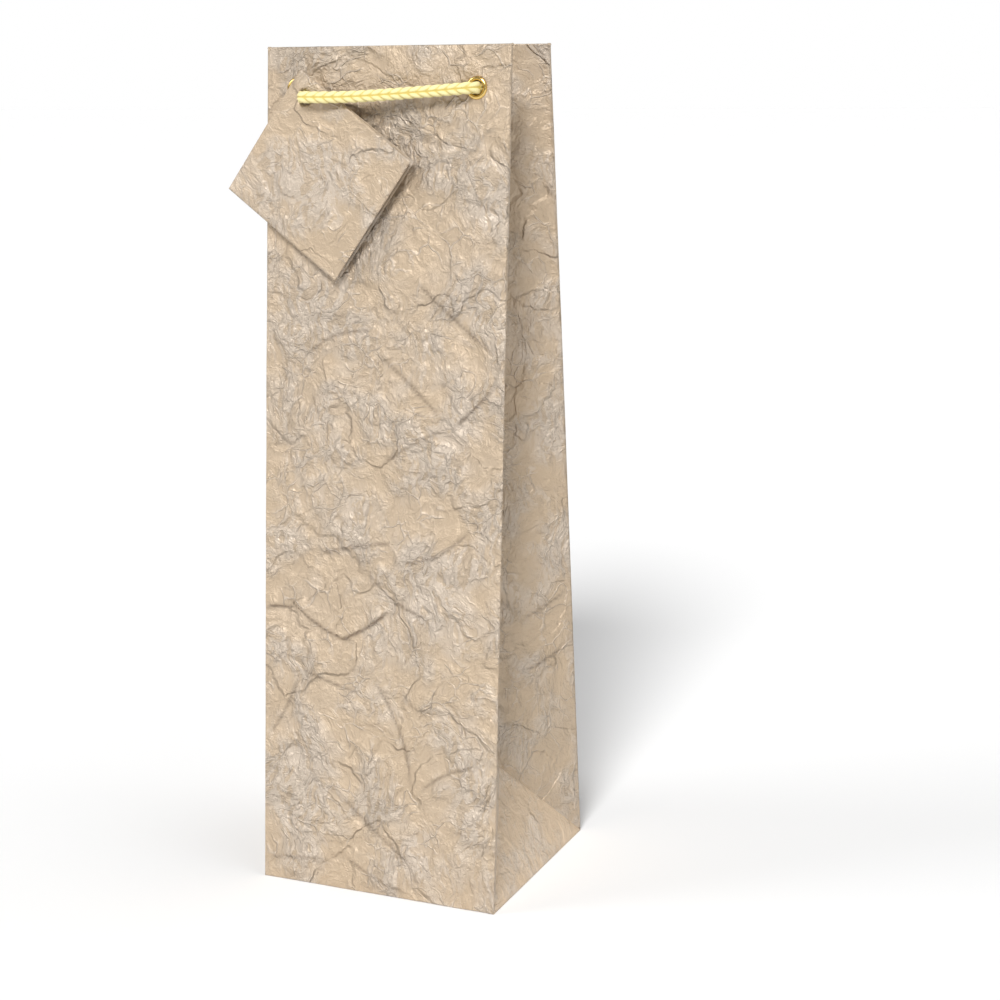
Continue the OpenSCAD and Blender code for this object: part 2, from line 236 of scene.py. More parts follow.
def crush(x, s, seed, folds=()):
    """Height in mm of crushed paper at points x, s in mm, with its greyness and the painted crease shade along
    folds as two columns.
    """
    height, grey = np.empty(len(x)), np.empty(len(x))
    for i, (a, b) in enumerate(zip(x.tolist(), s.tolist())):
        warp = noise.noise_vector(Vector((a / 42, b / 42, seed)))
        qa, qb = a + 15 * warp.x, b + 15 * warp.y
        plate = noise.voronoi(Vector((qa / 21, qb / 25, seed + 3)))[0]
        swell = noise.noise(Vector((a / 30, b / 30, seed + 9)))
        crease = noise.ridged_multi_fractal(Vector((qa / 40, qb / 34, seed + 2)), 0.9, 2.15, 5, 0.95, 2.0)
        across, along = (qa + 0.7 * qb) / 26, (qb - 0.7 * qa) / 10
        slant = noise.ridged_multi_fractal(Vector((across, along, seed + 4)), 0.9, 2.1, 4, 1.0, 2.0)
        bundle = noise.noise(Vector((qa / 26, qb / 26, seed + 12)))
        share = min(max(0.5 + 1.6 * bundle, 0), 1)
        valley = math.exp(-(plate[1] - plate[0]) / 0.09)
        height[i] = 0.45 * swell - 0.10 * valley + 0.55 * (crease - 1.0) + 0.22 * share * (slant - 1.0)
        grey[i] = min(max(0.25 + 0.55 * bundle + 0.2 * valley + 0.25 * (1.0 - crease), 0), 1)
    crease_shade_mask = np.zeros(len(x))
    if folds:
        ledge, crease_shade_mask = fold_profile(x, s, folds)
        height += ledge
        grey = np.clip(grey + 0.5 * np.clip(-ledge, 0, 1), 0, 1)
    return height, np.stack([grey, crease_shade_mask], 1)


# ---------------------------------------------------------------- building meshes


def finish_object(bm, name, materials, thickness=0.0):
    """Links a mesh as a named piece; a sheet gets its thickness inwards, with the last material inside."""
    mesh = bpy.data.meshes.new(name)
    bm.to_mesh(mesh)
    bm.free()
    for material in materials:
        mesh.materials.append(material)
    piece = bpy.data.objects.new(name, mesh)
    bpy.context.scene.collection.objects.link(piece)
    if thickness:
        wall = piece.modifiers.new("Paper thickness", "SOLIDIFY")
        wall.thickness = thickness
        wall.offset = -1
        wall.use_rim = True
        wall.material_offset = len(materials) - 1
        wall.material_offset_rim = 0
    return piece


def bent_grid(nx, ny, place):
    """A grid whose points u, v in 0..1 are moved to place(u, v): points in mm, outward normals, and tones with
    the painted crease shade.
    """
    bm = bmesh.new()
    bmesh.ops.create_grid(bm, x_segments=nx, y_segments=ny, size=0.5)
    flat = np.array([v.co for v in bm.verts])
    points, normals, grey = place(flat[:, 0] + 0.5, flat[:, 1] + 0.5)
    # the second layer holds the painted crease shade, which darkens the paper's colour along folds
    tone, painted_crease_shade = bm.verts.layers.float.new("grey"), bm.verts.layers.float.new("painted_crease_shade")
    for v, p, (g, c) in zip(bm.verts, (points * MM).tolist(), grey.tolist()):
        v.co = p
        v[tone], v[painted_crease_shade] = g, c
    bm.normal_update()
    middle = len(bm.verts) // 2 + nx // 2
    bm.verts.ensure_lookup_table()
    if bm.verts[middle].normal.dot(Vector(normals[middle])) < 0:
        bmesh.ops.reverse_faces(bm, faces=bm.faces)
    for f in bm.faces:
        f.smooth = True
    return bm


def punch(bm, centre, axis, radius):
    """Cuts a round hole in a sheet and draws its rim into a true circle. Lengths in mm, centre in mm."""
    centre, axis = Vector(centre) * MM, Vector(axis).normalized()

    def reach(co):
        v = co - centre
        return (v - v.dot(axis) * axis).length / MM

    gone = [f for f in bm.faces if (f.calc_center_median() - centre).length < 3 * radius * MM
            and reach(f.calc_center_median()) < radius]
    rim = {v for f in gone for v in f.verts}
    bmesh.ops.delete(bm, geom=gone, context="FACES")
    for v in rim:
        if v.is_valid and v.link_faces:
            out = v.co - centre
            deep = out.dot(axis) * axis
            out -= deep
            v.co = centre + deep + out.normalized() * radius * MM


def punch_eyelets(bm, side, y, radius):
    """Punches a panel's two eyelet holes through a sheet that lies y behind the panel's face."""
    axis = panel_frame(side)[0][:, 1]
    for x in (-EYELET_X, EYELET_X):
        punch(bm, in_panel([(x, y, EYELET_S)], side)[0], axis, radius)


def calm_at_eyelets(x, s, least, low, high):
    """Share of the crush that is left round the two eyelets, where the paper is pressed flat."""
    calm = np.ones_like(x)
    for ex in (-EYELET_X, EYELET_X):
        calm *= least + (1 - least) * smooth(np.hypot(x - ex, s - EYELET_S), low, high)
    return calm


# ---------------------------------------------------------------- materials


class Tree:
    """Short ways to add and join shader nodes."""

    def __init__(self, tree):
        self.tree = tree

    def add(self, kind, inputs=None, **settings):
        node = self.tree.nodes.new(kind)
        for key, value in settings.items():
            setattr(node, key, value)
        for key, value in (inputs or {}).items():
            socket = node.inputs[key]
            if isinstance(value, bpy.types.NodeSocket):
                self.tree.links.new(value, socket)
            else:
                socket.default_value = value
        return node

    def math(self, operation, a, b=0.0, c=0.0, clamp=False):
        return self.add("ShaderNodeMath", {0: a, 1: b, 2: c}, operation=operation, use_clamp=clamp).outputs[0]

    def vector(self, operation, a, b):
        return self.add("ShaderNodeVectorMath", {0: a, 1: b}, operation=operation).outputs[0]

    def scale(self, a, factor):
        return self.add("ShaderNodeVectorMath", {0: a, "Scale": factor}, operation="SCALE").outputs[0]

    def ramp(self, value, low, high, to_low=0.0, to_high=1.0):
        inputs = {"Value": value, "From Min": low, "From Max": high, "To Min": to_low, "To Max": to_high}
        return self.add("ShaderNodeMapRange", inputs, interpolation_type="SMOOTHSTEP").outputs["Result"]

    def mix(self, factor, a, b, blend="MIX"):
        node = self.add("ShaderNodeMix", data_type="RGBA", blend_type=blend)
        for index, value in ((0, factor), (6, a), (7, b)):
            if isinstance(value, bpy.types.NodeSocket):
                self.tree.links.new(value, node.inputs[index])
            else:
                node.inputs[index].default_value = value
        return node.outputs[2]


    def cloud(self, place, scale, detail, output="Fac"):
        inputs = {"Vector": place, "Scale": scale, "Detail": detail}
        return self.add("ShaderNodeTexNoise", inputs).outputs[output]

    def ridges(self, place, scale, detail, gain, lacunarity=2.0):
        inputs = {"Vector": place, "Scale": scale, "Detail": detail, "Roughness": 0.6,
                  "Lacunarity": lacunarity, "Offset": 0.9, "Gain": gain}
        node = self.add("ShaderNodeTexNoise", inputs, noise_type="RIDGED_MULTIFRACTAL", normalize=True)
        return node.outputs["Fac"]

    def plates(self, place, scale, feature, output, **more):
        inputs = {"Vector": place, "Scale": scale, **more}
        return self.add("ShaderNodeTexVoronoi", inputs, feature=feature).outputs[output]

    def stretch(self, place, rotation, scale):
        inputs = {"Vector": place, "Rotation": rotation, "Scale": scale}
        return self.add("ShaderNodeMapping", inputs).outputs[0]

    def bend(self, place, noise_colour, amount):
        centred = self.vector("SUBTRACT", noise_colour, (0.5, 0.5, 0.5))
        return self.vector("ADD", place, self.scale(centred, amount))

    def red(self, colour):
        return self.add("ShaderNodeSeparateColor", {"Color": colour}).outputs[0]

    def show(self, shader, output="ShaderNodeOutputMaterial"):
        self.tree.links.new(shader.outputs[0], self.add(output).inputs[0])


def rgba(colour):
    return (*colour, 1.0)


def tinted(colour, factor):
    return tuple(factor * c for c in colour)


def empty_material(name):
    """A material with no nodes, its tree, and the place on the piece that its textures follow."""
    material = bpy.data.materials.new(name)
    material.use_nodes = True
    material.node_tree.nodes.clear()
    t = Tree(material.node_tree)
    return material, t, t.add("ShaderNodeTexCoord").outputs["Object"]


def crushed_relief():
    """Fine relief of crushed handmade paper: sharp veins, runs of close creases and long fibres, with a mask of
    painted highlights along the veins and close creases.
    """
    group = bpy.data.node_groups.new("crushed_relief", "ShaderNodeTree")
    for name, kind, default in (("Position", "NodeSocketVector", None), ("Size", "NodeSocketFloat", 1.0),
                                ("Runs", "NodeSocketFloat", 1.0), ("Fibres", "NodeSocketFloat", 1.0)):
        socket = group.interface.new_socket(name, in_out="INPUT", socket_type=kind)
        if default is not None:
            socket.default_value = default
    for name in ("Height", "Painted_highlight", "Run"):
        group.interface.new_socket(name, in_out="OUTPUT", socket_type="NodeSocketFloat")
    t = Tree(group)
    into = t.add("NodeGroupInput")
    position = t.scale(into.outputs["Position"], into.outputs["Size"])
    bent = t.bend(position, t.cloud(position, 24.0, 2.0, "Color"), 0.030)
    rough = t.bend(bent, t.cloud(position, 110.0, 3.0, "Color"), 0.007)
    run = t.ramp(t.cloud(bent, 38.0, 2.0), 0.40, 0.62)
    patch = t.ramp(t.cloud(position, 75.0, 1.0), 0.44, 0.60)
    plate = t.plates(rough, 46.0, "SMOOTH_F1", "Color", Smoothness=0.10)
    chip = t.plates(rough, 125.0, "F1", "Color")
    edge = t.math("MULTIPLY", t.ramp(t.plates(rough, 112.0, "DISTANCE_TO_EDGE", "Distance"), 0.06, 0.0), patch)
    crease = t.ridges(rough, 60.0, 6.0, 2.2, lacunarity=2.15)
    close = t.ridges(t.stretch(rough, (0.5, 0.75, 0.0), (250.0, 250.0, 62.0)), 1.0, 3.0, 2.0)
    fibre = t.cloud(t.stretch(bent, (0.05, -0.1, 0.0), (1000.0, 1000.0, 120.0)), 1.0, 3.0)
    height = t.math("MULTIPLY", t.red(plate), 0.85)
    steps = t.math("MULTIPLY", t.red(chip), 0.22)
    height = t.math("MULTIPLY_ADD", steps, patch, height)
    height = t.math("MULTIPLY_ADD", edge, 0.20, height)
    height = t.math("MULTIPLY_ADD", crease, t.math("MULTIPLY_ADD", run, 0.32, 0.34), height)
    runs = t.math("MULTIPLY", into.outputs["Runs"], 0.22)
    height = t.math("MULTIPLY_ADD", t.math("MULTIPLY", close, run), runs, height)
    fibres = t.math("MULTIPLY", into.outputs["Fibres"], 0.20)
    height = t.math("MULTIPLY_ADD", fibre, fibres, height)
    out = t.add("NodeGroupOutput")
    t.tree.links.new(height, out.inputs["Height"])
    # painted highlight: the vein edges and the crowns of close creases in runs lighten the paper's colour
    glint_in_runs = t.math("MULTIPLY", t.ramp(close, 0.62, 0.95), run)
    t.tree.links.new(t.math("MAXIMUM", edge, glint_in_runs), out.inputs["Painted_highlight"])
    t.tree.links.new(run, out.inputs["Run"])
    return group


def paper(name, warm, grey, relief, size=1.0, runs=1.0, fibres=1.0, depth=0.0021, pearl=0.4, roughness=0.47):
    material, t, place = empty_material(name)
    fine = t.add("ShaderNodeGroup")
    fine.node_tree = relief
    t.tree.links.new(place, fine.inputs["Position"])
    fine.inputs["Size"].default_value = size
    fine.inputs["Runs"].default_value = runs
    fine.inputs["Fibres"].default_value = fibres
    folds = t.add("ShaderNodeAttribute", attribute_name="grey").outputs["Fac"]
    cloud = t.cloud(place, 45.0, 3.0)
    share = t.math("MULTIPLY_ADD", fine.outputs["Run"], 0.26, t.math("MULTIPLY", folds, 0.26))
    share = t.math("ADD", share, t.math("MULTIPLY_ADD", cloud, 0.5, -0.28), clamp=True)
    colour = t.mix(share, rgba(warm), rgba(grey))
    # painted highlight: the colour is lightened towards pale cream along the veins and close creases
    colour = t.mix(t.math("MULTIPLY", fine.outputs["Painted_highlight"], 0.26), colour, (0.74, 0.69, 0.64, 1.0))
    # painted crease shade: the colour is darkened towards dark brown along the folds
    painted_crease_shade = t.add("ShaderNodeAttribute", attribute_name="painted_crease_shade").outputs["Fac"]
    colour = t.mix(t.math("MULTIPLY", painted_crease_shade, 0.75), colour, (0.17, 0.13, 0.10, 1.0))
    bump = t.add("ShaderNodeBump", {"Height": fine.outputs["Height"], "Strength": 1.0, "Distance": depth})
    shader = t.add("ShaderNodeBsdfPrincipled", {"Base Color": colour, "Metallic": pearl,
                                                "Normal": bump.outputs[0]})
    gloss = t.math("MULTIPLY_ADD", cloud, 0.24, roughness - 0.12)
    t.tree.links.new(gloss, shader.inputs["Roughness"])
    t.show(shader)
    return material


def gilt_metal(colour):
    material, t, place = empty_material("bright_gilt")
    haze = t.cloud(place, 700.0, 3.0)
    tint = t.mix(t.ramp(haze, 0.35, 0.75), rgba(colour), rgba(tinted(colour, 0.82)))
    shader = t.add("ShaderNodeBsdfPrincipled", {"Base Color": tint, "Metallic": 1.0})
    t.tree.links.new(t.ramp(haze, 0.2, 0.8, 0.14, 0.32), shader.inputs["Roughness"])
    t.show(shader)
    return material


def knitted_yarn(light, deep):
    material, t, place = empty_material("knitted_yarn")
    crown = t.add("ShaderNodeAttribute", attribute_name="crown").outputs["Fac"]
    fuzz = t.cloud(place, 2600.0, 2.0)
    level = t.math("ADD", crown, t.math("MULTIPLY_ADD", fuzz, 0.3, -0.15), clamp=True)
    # painted shade in the cord's hollows: the colour darkens from the crowns of the stitches into the hollows
    colour = t.mix(t.ramp(level, 0.05, 0.75), rgba(deep), rgba(light))
    bump = t.add("ShaderNodeBump", {"Height": fuzz, "Strength": 0.6, "Distance": 0.0003})
    shader = t.add("ShaderNodeBsdfPrincipled", {"Base Color": colour, "Roughness": 0.62, "Sheen Weight": 0.1,
                                                "Normal": bump.outputs[0]})
    t.show(shader)
    return material


def plain_card():
    material, t, place = empty_material("grey_card")
    flecks = t.cloud(place, 900.0, 4.0)
    colour = t.mix(t.ramp(flecks, 0.35, 0.7), (0.36, 0.32, 0.27, 1), (0.50, 0.45, 0.38, 1))
    bump = t.add("ShaderNodeBump", {"Height": flecks, "Strength": 0.3, "Distance": 0.0002})
    shader = t.add("ShaderNodeBsdfPrincipled", {"Base Color": colour, "Roughness": 0.85,
                                                "Normal": bump.outputs[0]})
    t.show(shader)
    return material


def finishes():
    """The bag's materials, made once."""
    if "knitted_yarn" in bpy.data.materials:
        return bpy.data.materials
    own = bpy.context.scene.wine_bag
    relief = crushed_relief()
    warm, grey = tuple(own.paper_warm), tuple(own.paper_grey)
    paper("pearl_paper", warm, grey, relief)
    paper("gusset_paper", warm, grey, relief, size=1.15, runs=0.8, depth=0.0014)
    # painted light: the foot triangles face up towards the lights, so their paper colours are made 1.42 times
    # lighter
    paper("foot_paper_painted_light", tinted(warm, 1.42), tinted(grey, 1.42), relief, size=1.6, runs=0.4, fibres=0.8,
          depth=0.0010)
    paper("leaf_paper", warm, grey, relief, size=1.2, runs=0.3, fibres=0.9, depth=0.0014)
    paper("lining_paper", tinted(warm, 0.9), tinted(grey, 0.95), relief, pearl=0.0, roughness=0.8,
          depth=0.0010)
    gilt_metal(tuple(own.gilt))
    knitted_yarn(tuple(own.cord_light), tuple(own.cord_hollow_shade))
    plain_card()
    return bpy.data.materials


# ---------------------------------------------------------------- cords


def even_route(route, step):
    """Points every step mm along a smooth curve through the route."""
    p = np.array(route, float)
    p = np.vstack([2 * p[0] - p[1], p, 2 * p[-1] - p[-2]])
    dense = []
    for k in range(1, len(p) - 2):
        for t in np.linspace(0, 1, 24, endpoint=False):
            a, b, c, d = p[k - 1], p[k], p[k + 1], p[k + 2]
            square, cube = 2 * a - 5 * b + 4 * c - d, 3 * b - a - 3 * c + d
            dense.append(0.5 * (2 * b + (c - a) * t + square * t * t + cube * t ** 3))
    dense.append(p[-2])
    dense = np.array(dense)
    run = np.concatenate([[0], np.cumsum(np.linalg.norm(np.diff(dense, axis=0), axis=1))])
    count = max(8, int(round(run[-1] / step)))
    at = np.linspace(0, run[-1], count + 1)
    return np.stack([np.interp(at, run, dense[:, i]) for i in range(3)], 1), run[-1]


def carried_frames(line, up):
    """Two crosswise directions at each point of a line, carried along it without twist."""
    ahead = np.gradient(line, axis=0)
    ahead /= np.linalg.norm(ahead, axis=1)[:, None]
    side = np.empty_like(ahead)
    v = np.array(up, float)
    for i, h in enumerate(ahead):
        v = v - v.dot(h) * h
        v /= np.linalg.norm(v)
        side[i] = v
    return side, np.cross(ahead, side)


def knitted_tube(name, line, diameter, pitch, material, up, round_ends=True, around=40, wales=2):
    """A tube of chain stitches along a line of points, all in mm."""
    side, other = carried_frames(line, up)
    run = np.concatenate([[0], np.cumsum(np.linalg.norm(np.diff(line, axis=0), axis=1))])
    bm = bmesh.new()
    bmesh.ops.create_grid(bm, x_segments=len(line) - 1, y_segments=around, size=0.5)
    flat = np.array([v.co for v in bm.verts])
    i = np.rint((flat[:, 0] + 0.5) * (len(line) - 1)).astype(int)
    turned = flat[:, 1] + 0.5
    c = (turned * wales + 0.5) % 1.0
    lean_of_v = np.abs(c - 0.5) * 2
    phase = (run[i] / pitch - 0.85 * lean_of_v) % 1.0
    along = np.sin(np.pi * phase) ** 0.55
    across = np.sin(np.pi * ((2 * c) % 1.0)) ** 0.6
    crown = along * across
    radius = diameter / 2 * (0.70 + 0.30 * crown)
    if round_ends:
        rest = np.minimum(run[i], run[-1] - run[i])
        radius *= np.sqrt(np.clip(1 - (1 - np.clip(rest / (diameter * 0.35), 0, 1)) ** 2, 0.02, 1))
    angle = 2 * np.pi * turned
    points = line[i] + radius[:, None] * (np.cos(angle)[:, None] * side[i] + np.sin(angle)[:, None] * other[i])
    layer = bm.verts.layers.float.new("crown")
    for v, p, g in zip(bm.verts, (points * MM).tolist(), crown.tolist()):
        v.co = p
        v[layer] = g
    bmesh.ops.remove_doubles(bm, verts=bm.verts, dist=0.000002)
    bmesh.ops.holes_fill(bm, edges=[e for e in bm.edges if e.is_boundary], sides=0)
    bmesh.ops.recalc_face_normals(bm, faces=bm.faces)
    for f in bm.faces:
        f.smooth = True
    return finish_object(bm, name, [material])


def overhand_knot(name, side, hand, own, material):
    """A pulled-tight overhand knot round the cord's end, with its cut end below."""
    t = np.linspace(0.35, 2 * np.pi + 0.1, 110)
    loop = np.stack([np.sin(t) + 2 * np.sin(2 * t), -np.sin(3 * t) * 1.25, np.cos(t) - 2 * np.cos(2 * t)], 1)
    tail_x, tail_y, _ = TAIL[0]
    loop = loop * np.array([1.12, 1.25, 1.12]) + np.array([hand * tail_x, tail_y, 224.0])
    line = in_panel(loop, side)
    knot = knitted_tube(name, line, 3.9, own.stitch_pitch / MM * 0.8, material, (0, 1, 0), around=24)
    cut_end = [(hand * tail_x, tail_y, 222), (hand * 22.3, 14.7, 217), (hand * tail_x, tail_y, 211.6)]
    tail, _ = even_route(in_panel(cut_end, side), 0.45)
    end = knitted_tube(name + "_end", tail, 5.0, own.stitch_pitch / MM, material, (0, 1, 0), around=28)
    bm = bmesh.new()
    bm.from_mesh(knot.data)
    bm.from_mesh(end.data)
    bm.to_mesh(knot.data)
    bm.free()
    bpy.data.objects.remove(end)
    return knot


class OBJECT_OT_wine_bag_cords(bpy.types.Operator):
    """Knits the two handle cords and ties their knots"""

    bl_idname = "object.wine_bag_cords"
    bl_label = "Handle cords"

    def execute(self, context):
        own = context.scene.wine_bag
        yarn = finishes()["knitted_yarn"]
        for word, side, route in (("front", -1, FRONT_ROUTE), ("back", 1, BACK_ROUTE)):
            line, length = even_route(in_panel(route, side), 0.42)
            spine = (-0.82 * side, 0.57 * side, 0)
            cord = knitted_tube(f"{word}_knitted_cord", line, own.cord_diameter / MM, own.stitch_pitch / MM,
                                yarn, spine, round_ends=False)
            for hand in (-1, 1):
                end = end_word(hand, side)
                knot = overhand_knot(f"{word}_{end}_overhand_knot", side, hand, own, yarn)
                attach(knot, word)
                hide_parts(f"{word}_{end}_knot")
            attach(cord, word)
            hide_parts(f"{word}_handle_cord")
        return {"FINISHED"}


# ---------------------------------------------------------------- panels, hems and gussets


def side_roll(s):
    """Radius of the side folds, wider where the card stiffens the mouth."""
    return 0.45 + 0.75 * smooth(s, 215, 300)


def panel_surface(seed, folds, side):
    edge, foot, brow = 7, 4, 7
    nx, ny = 104 + 2 * edge, 318 + foot + brow
    bottom_r, top_r = 0.5, 0.65

    def place(u, v):
        i, j = u * nx, v * ny
        beta = np.clip((foot - j) / foot, 0, 1) * np.pi / 2
        tau = np.clip((j - (ny - brow)) / brow, 0, 1) * np.pi
        run = np.clip((j - foot) / (ny - foot - brow), 0, 1)
        s = bottom_r + run * (BAG_H - top_r - bottom_r)
        z = s - bottom_r * np.sin(beta) + top_r * np.sin(tau)
        inward = bottom_r * (1 - np.cos(beta)) + top_r * (1 - np.cos(tau))
        r = side_roll(s)
        full = np.pi / 2 + fold_angle(s * math.cos(LEAN))
        hand = np.where(i < nx / 2, -1.0, 1.0)
        rolled = np.clip(np.maximum(edge - i, i - (nx - edge)) / edge, 0, 1) * full
        across = np.clip((i - edge) / (nx - 2 * edge), 0, 1) * 2 - 1
        x = across * (BAG_W / 2 - r) + hand * r * np.sin(rolled)
        corner = smooth(np.abs(across), 0.93, 1.0)
        y = inward * (1 - 0.6 * corner) + r * (1 - np.cos(rolled))
        flat = np.cos(rolled)
        normal = np.stack([hand * np.sin(rolled), -flat * np.cos(tau + beta),
                           flat * np.sin(tau) - np.sin(beta)], 1)
        normal /= np.linalg.norm(normal, axis=1)[:, None]
        # the second column of grey is the painted crease shade along the folds
        height, grey = crush(x, s, seed, folds)
        calm = 1 - smooth(np.abs(x), BAG_W / 2 - 5, BAG_W / 2 - 0.8)
        calm = 0.12 + 0.88 * calm
        calm *= 0.25 + 0.75 * smooth(s, 0.5, 5) * (1 - smooth(s, BAG_H - 5, BAG_H - 0.7))
        calm *= calm_at_eyelets(x, s, 0.15, 4.5, 9)
        lift = height * calm * bpy.context.scene.wine_bag.relief
        points = np.stack([x, y, z], 1) + normal * lift[:, None]
        rotation, _ = panel_frame(side)
        return in_panel(points, side), normal @ rotation.T, grey

    return nx, ny, place


class OBJECT_OT_wine_bag_panels(bpy.types.Operator):
    """Crushes and folds the front and back panels, rolled over at the sides, the foot and the mouth"""

    bl_idname = "object.wine_bag_panels"
    bl_label = "Front and back panels"

    def execute(self, context):
        own, finish = context.scene.wine_bag, finishes()
        for word, side, seed, folds in (("front", -1, 2.0, FRONT_FOLDS), ("back", 1, 31.0, ())):
            nx, ny, place = panel_surface(seed, folds, side)
            bm = bent_grid(nx, ny, place)
            punch_eyelets(bm, side, 0, 3.9)
            sheet = finish_object(bm, f"{word}_crushed_panel", [finish["pearl_paper"], finish["lining_paper"]],
                                  own.paper_thickness)
            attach(sheet, word)
            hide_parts(f"{word}_panel")
        return {"FINISHED"}


def hem_surface(seed, side):
    nx, ny = 96, 36

    def place(u, v):
        x = (u * 2 - 1) * (BAG_W / 2 - HEM_SIDE_GAP)
        s = BAG_H - 0.6 - v * HEM_H
        height, grey = crush(x, s, seed)
        calm = calm_at_eyelets(x, s, 0.1, 5, 9) * smooth(v, 0, 0.08)
        y = HEM_Y + 0.35 * np.clip(-height, -0.1, 0.6) * calm
        points = np.stack([x, y, s], 1)
        normal = np.tile([0.0, 1.0, 0.0], (len(x), 1))
        rotation, _ = panel_frame(side)
        return in_panel(points, side), normal @ rotation.T, grey

    return nx, ny, place


class OBJECT_OT_wine_bag_hems(bpy.types.Operator):
    """Turns the paper in at the mouth as a hem behind the front and back panels"""

    bl_idname = "object.wine_bag_hems"
    bl_label = "Hems"

    def execute(self, context):
        finish = finishes()
        for word, side, seed in (("front", -1, 51.0), ("back", 1, 57.0)):
            nx, ny, place = hem_surface(seed, side)
            bm = bent_grid(nx, ny, place)
            punch_eyelets(bm, side, HEM_Y, 3.6)
            hem = finish_object(bm, f"{word}_turned_hem", [finish["pearl_paper"]], HEM_THICK)
            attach(hem, word)
            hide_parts(f"{word}_hem")
        return {"FINISHED"}


def gusset_surface(seed, hand, side, folds):
    brow, hem = 6, 30
    nx, main = 44, 310
    ny = main + brow + hem
    roll_r = 0.42
    low, high = 1.2, TOP_Z - roll_r

    def place(u, v):
        j = v * ny
        run = np.clip(j / main, 0, 1)
        tau = np.clip((j - main) / brow, 0, 1) * np.pi
        down = np.clip((j - main - brow) / hem, 0, 1) * (HEM_H - 1)
        level = low + run * (high - low)
        z = level + roll_r * np.sin(tau) - down
        phi = fold_angle(z)
        depth = half_depth(z)
        r_roll = side_roll(z)
        start = np.minimum(r_roll * 0.9, 0.4 + z * 0.05)
        to_diagonal = z < FOOT_TOP_Z
        to_crease = (depth - FACE_OUT * np.sin(phi)) / np.cos(phi)
        end = np.where(to_diagonal, np.minimum(z / math.cos(FOOT_LEAN), to_crease), to_crease)
        # a lap past the fold lies behind the next face and keeps the fold closed when the mouth opens
        over_foot = smooth(z, FOOT_TOP_Z - 1, FOOT_TOP_Z + 5)
        lap = 4.0 * (1 - over_foot) * smooth(z, 4, 12)
        if side < 0:
            lap = lap + over_foot * (4.0 - smooth(z, 310, 345))
        r = start + (end + lap - start) * u
        share = r / HALF_D
        bow = 2.5 * 4 * share * (1 - share) * z / TOP_Z
        tuck = r_roll * (1 - np.cos(phi) + np.sin(phi)) - FACE_OUT
        near_diagonal = np.where(to_diagonal, 0.6 + 0.4 * smooth(end - r, 0, 4), 1.0)
        # the second column of grey is the painted crease shade along the folds
        height, grey = crush(r + 3 * seed, z, seed, [(f[0] + 3 * seed, *f[1:]) for f in folds])
        calm = smooth(r, 1, 6) * smooth(end - r, 0.3, 5) * (1 - 0.7 * smooth(z, TOP_Z - 5, TOP_Z))
        lift = 0.75 * height * calm * bpy.context.scene.wine_bag.relief
        inner = tau > 3.1
        off = np.where(inner, -HEM_IN, FACE_OUT * near_diagonal - roll_r * (1 - np.cos(tau)))
        off = off + bow * smooth(end - r, 0, 4)
        off = off - 0.45 * smooth(r - end, -0.1, 0.9)
        off = off + tuck * np.exp(-(r / 3.0) ** 2) * (1 - smooth(tau, 0.0, 3.1)) + np.where(inner, 0.0, lift)
        x = BAG_W / 2 - r * np.sin(phi) + off * np.cos(phi)
        y = -depth + r * np.cos(phi) + off * np.sin(phi)
        face = np.where(inner, -1.0, 1.0)
        points = np.stack([hand * x, -side * y, z], 1)
        normal = np.stack([hand * np.cos(phi) * face, -side * np.sin(phi) * face, 0 * z], 1)
        return points, normal, grey

    return nx, ny, place


class OBJECT_OT_wine_bag_gussets(bpy.types.Operator):
    """Folds the four gusset halves in from the side folds to the centre creases, hemmed at the mouth"""

    bl_idname = "object.wine_bag_gussets"
    bl_label = "Gusset halves"

    def execute(self, context):
        finish = finishes()
        for k, (hand, side) in enumerate(((1, -1), (1, 1), (-1, -1), (-1, 1))):
            word = "right" if hand > 0 else "left"
            face = "front" if side < 0 else "back"
            nx, ny, place = gusset_surface(11.0 + 4 * k, hand, side, GUSSET_FOLDS if k == 1 else ())
            bm = bent_grid(nx, ny, place)
            half = finish_object(bm, f"{word}_{face}_gusset_paper",
                                 [finish["gusset_paper"], finish["lining_paper"]], FOLD_THICK)
            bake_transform(half)
            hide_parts(f"{word}_gusset_{face}")
        return {"FINISHED"}


def foot_surface(seed, hand):
    def place(u, v):
        s = v * (HALF_D - 0.3)
        reach = HALF_D - 0.1 - s + 0.24 * smooth(s, 2, 8)
        y = (u * 2 - 1) * reach
        height, grey = crush(y, s, seed)
        rim = np.minimum(reach - np.abs(y), s)
        lift = 0.45 * height * smooth(rim, 0.3, 5)
        out = 0.05 + 0.2 * smooth(s, 0.5, 5) + lift
        beta = FOOT_LEAN
        x = BAG_W / 2 - s * math.sin(beta) + out * math.cos(beta)
        z = s * math.cos(beta) + out * math.sin(beta)
        points = np.stack([hand * np.minimum(x, BAG_W / 2), y, z], 1)
        normal = np.tile([hand * math.cos(beta), 0.0, math.sin(beta)], (len(y), 1))
        return points, normal, 0.6 * grey

    return 96, 48, place


class OBJECT_OT_wine_bag_feet(bpy.types.Operator):
    """Folds the triangles at the feet of the gussets"""

    bl_idname = "object.wine_bag_feet"
    bl_label = "Foot triangles"

    def execute(self, context):
        finish = finishes()
        for word, hand, seed in (("right", 1, 71.0), ("left", -1, 75.0)):
            nx, ny, place = foot_surface(seed, hand)
            bm = bent_grid(nx, ny, place)
            bmesh.ops.remove_doubles(bm, verts=bm.verts, dist=0.00001)
            foot = finish_object(bm, f"{word}_foot_triangle", [finish["foot_paper_painted_light"], finish["lining_paper"]],
                                 FOLD_THICK)
            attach(foot, f"{word}_foot_triangle")
            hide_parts(f"{word}_foot")
        return {"FINISHED"}


# ---------------------------------------------------------------- eyelets, tag, inner pieces


